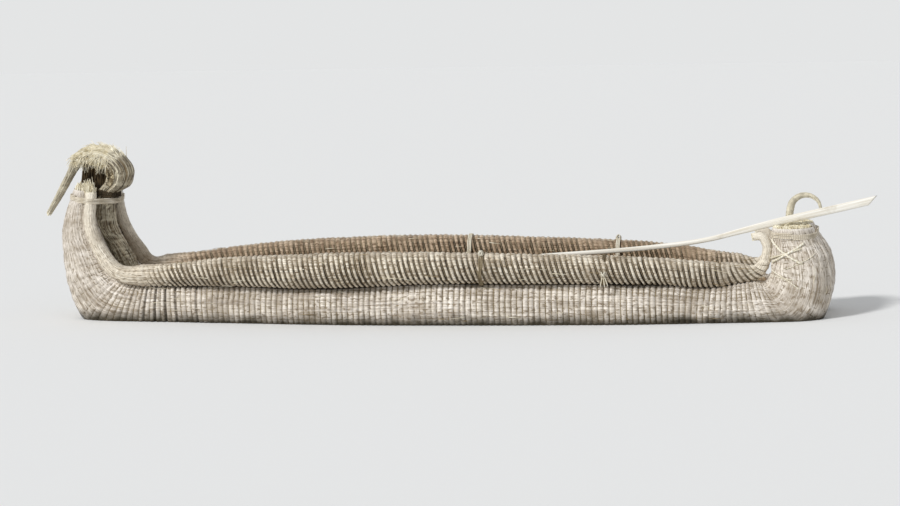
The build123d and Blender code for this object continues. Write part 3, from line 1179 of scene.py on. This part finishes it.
def addFringe(mesh, fringe):
    start = headBundle["hoodLengths"][0]
    reach = headBundle["beakLengths"][1] - start
    for i in range(fringe["count"]):
        length = start + reach * draw.uniform(*fringe["along"])
        turn = draw.uniform(*fringe["turn"])
        place, normal, along = onBundle(headRun, headBundle, length, turn, 0.0)
        way = along * draw.uniform(*fringe["forward"]) + normal * draw.uniform(0.0, fringe["proud"])
        aside = (draw.uniform(-0.2, 0.2), draw.uniform(-0.2, 0.2))
        way += Vector((*aside, -draw.uniform(*fringe["down"])))
        droop = Vector((0, 0, -1)) * draw.uniform(0.1, 0.6)
        reed = draw.uniform(*fringe["length"])
        addStalk(mesh, place - normal * 0.006, way.normalized(), droop, reed, fringe["radius"])


mesh = bmesh.new()
for fringe in headStraw.values():
    addFringe(mesh, fringe)
finishPiece("headStraw", mesh, [paleStraw], smooth=False)
mesh = bmesh.new()
addFringe(mesh, headShadeCurtain)
finishPiece("headShadeCurtain", mesh, [shadedStraw], smooth=False)
print("straw made")


# Reed ends that stand proud of the cut bundles
endReeds = {
    "spread": 0.93,
    "lean": 0.12,
    "sunk": 0.02,
    # how many, shortest, longest, radius
    "stub": (300, 0.002, 0.014, 0.0075),
    "tip": (90, 0.004, 0.05, 0.006),
    "rollTip": (26, 0.004, 0.05, 0.006),
    "rollCurl": (26, 0.002, 0.012, 0.005),
    "beak": (14, 0.002, 0.02, 0.004),
}
goldenAngle = 2.39996


def addReedEnds(mesh, run, sign, reeds):
    count, low, high, radius = reeds
    section = readRun(run, run["length"] if sign > 0 else 0.0)
    for i in range(count):
        share = math.sqrt((i + 0.5) / count) * endReeds["spread"]
        place = inSection(section, share, i * goldenAngle)
        tall = draw.uniform(low, high)
        lean = (section[1] * sign + anyWay(endReeds["lean"])).normalized()
        matrix = lean.to_track_quat("Z", "X").to_matrix().to_4x4()
        matrix.translation = place + lean * (tall / 2 - endReeds["sunk"] / 2)
        size = radius * draw.uniform(0.8, 1.2)
        bmesh.ops.create_cone(
            mesh, cap_ends=True, segments=6, radius1=size, radius2=size,
            depth=tall + endReeds["sunk"], matrix=matrix,
        )


mesh = bmesh.new()
for side in (port, starboard):
    hull = hulls[side][0]
    roll = rolls[side][0]
    addReedEnds(mesh, hull, -1, endReeds["stub"])
    addReedEnds(mesh, hull, 1, endReeds["tip"])
    addReedEnds(mesh, roll, 1, endReeds["rollTip"])
    addReedEnds(mesh, roll, -1, endReeds["rollCurl"])
addReedEnds(mesh, headRun, 1, endReeds["beak"])
finishPiece("reedEnds", mesh, [paleStraw], smooth=False)
print("reed ends made")

# Frayed tufts at the tips of the prow, under the head
tuft = {"count": 130, "length": (0.05, 0.13), "radius": 0.0028, "spread": 0.26, "forward": 0.45}
mesh = bmesh.new()
for side in (port, starboard):
    roll = rolls[side][0]
    section = readRun(roll, roll["length"])
    along = section[1]
    for i in range(tuft["count"]):
        angle = fullTurn * draw.random()
        root = inSection(section, math.sqrt(draw.random()), angle)
        way = along + anyWay(tuft["spread"])
        way.x += tuft["forward"] * draw.random()
        droop = Vector((0.3, side * 0.3, -0.4)) * draw.random()
        reed = draw.uniform(*tuft["length"])
        addStalk(mesh, root - along * 0.02, way.normalized(), droop, reed, tuft["radius"])
finishPiece("tipTufts", mesh, [paleStraw], smooth=False)

# Stray reeds that have worked loose from the bundles and lie along them
strays = {
    "hull": 300,
    "roll": 150,
    "along": (0.04, 0.82),
    "lowest": 0.03,
    "lift": (0.02, 0.14),
    "spread": 0.14,
    "droop": (0.05, 0.25),
    "length": (0.03, 0.13),
    "radius": (0.0014, 0.0028),
}


def addStrays(mesh, run, bundle, count):
    for i in range(count):
        length = run["length"] * draw.uniform(*strays["along"])
        place, normal, along = onBundle(run, bundle, length, draw.random(), 0.0)
        if place.z < strays["lowest"]:
            continue
        way = along * draw.choice((-1, 1)) + normal * draw.uniform(*strays["lift"])
        way += anyWay(strays["spread"])
        droop = normal * -draw.uniform(*strays["droop"])
        addStalk(
            mesh, place - normal * 0.003, way.normalized(), droop,
            draw.uniform(*strays["length"]), draw.uniform(*strays["radius"]),
        )


for name, material in (("paleStrays", paleStraw), ("dullStrays", dullStraw)):
    mesh = bmesh.new()
    for side in (port, starboard):
        addStrays(mesh, *hulls[side], strays["hull"] // 2)
        addStrays(mesh, *rolls[side], strays["roll"] // 2)
    finishPiece(name, mesh, [material], smooth=False)
print("loose reeds made")

# Floor at the waterline, lights and camera
studio = {
    "floorSize": 60.0,
    "floorColor": (0.80, 0.80, 0.79, 1.0),
    "worldColor": (0.95, 0.97, 1.0, 1.0),
    "worldStrength": 0.54,
    "backdropColor": (0.776, 0.784, 0.786, 1.0),
    "sunStrength": 2.35,
    "sunAngle": 9.0,
    "sunWay": (-0.50, -0.60, -0.60),
    "cameraPlace": (-3.52, 20.96, 3.0),
    "cameraTarget": (-0.07, 0.0, 0.44),
    "cameraRoll": -1.4,
    "lens": 120.0,
}
mesh = bmesh.new()
bmesh.ops.create_grid(mesh, x_segments=1, y_segments=1, size=studio["floorSize"] / 2)
floorData = bpy.data.meshes.new("studioFloor")
mesh.to_mesh(floorData)
mesh.free()
floor = addObject("studioFloor", floorData)
floorPaint, tree, shader = newMaterial("studioFloor")
feedInputs(tree, shader, {"Base Color": studio["floorColor"], "Roughness": 0.9})
floorData.materials.append(floorPaint)

world = bpy.data.worlds.new("studio")
world.use_nodes = True
tree = world.node_tree
background = tree.nodes["Background"]
feedInputs(tree, background, {"Color": studio["worldColor"], "Strength": studio["worldStrength"]})
backdrop = addNode(tree, "Background", {"Color": studio["backdropColor"], "Strength": 1.0})
rays = addNode(tree, "LightPath").outputs
seen = addMath(tree, "MAXIMUM", rays["Is Camera Ray"], rays["Is Glossy Ray"])
seen = addMath(tree, "MAXIMUM", seen, rays["Is Transmission Ray"])
mixed = addNode(tree, "MixShader", {0: seen, 1: background.outputs[0], 2: backdrop.outputs[0]})
tree.links.new(mixed.outputs[0], tree.nodes["World Output"].inputs["Surface"])
bpy.context.scene.world = world

sunData = bpy.data.lights.new("sun", "SUN")
sunData.energy = studio["sunStrength"]
sunData.angle = math.radians(studio["sunAngle"])
sun = addObject("sun", sunData)
sun.rotation_euler = Vector(studio["sunWay"]).to_track_quat("-Z", "Y").to_euler()

cameraData = bpy.data.cameras.new("camera")
cameraData.lens = studio["lens"]
camera = addObject("camera", cameraData)
cameraPlace = Vector(studio["cameraPlace"])
view = Vector(studio["cameraTarget"]) - cameraPlace
turned = view.to_track_quat("-Z", "Y").to_matrix().to_4x4()
turned = turned @ Matrix.Rotation(math.radians(studio["cameraRoll"]), 4, "Z")
turned.translation = cameraPlace
camera.matrix_world = turned
bpy.context.scene.camera = camera
bpy.context.scene.view_settings.view_transform = "Standard"
print("studio made")
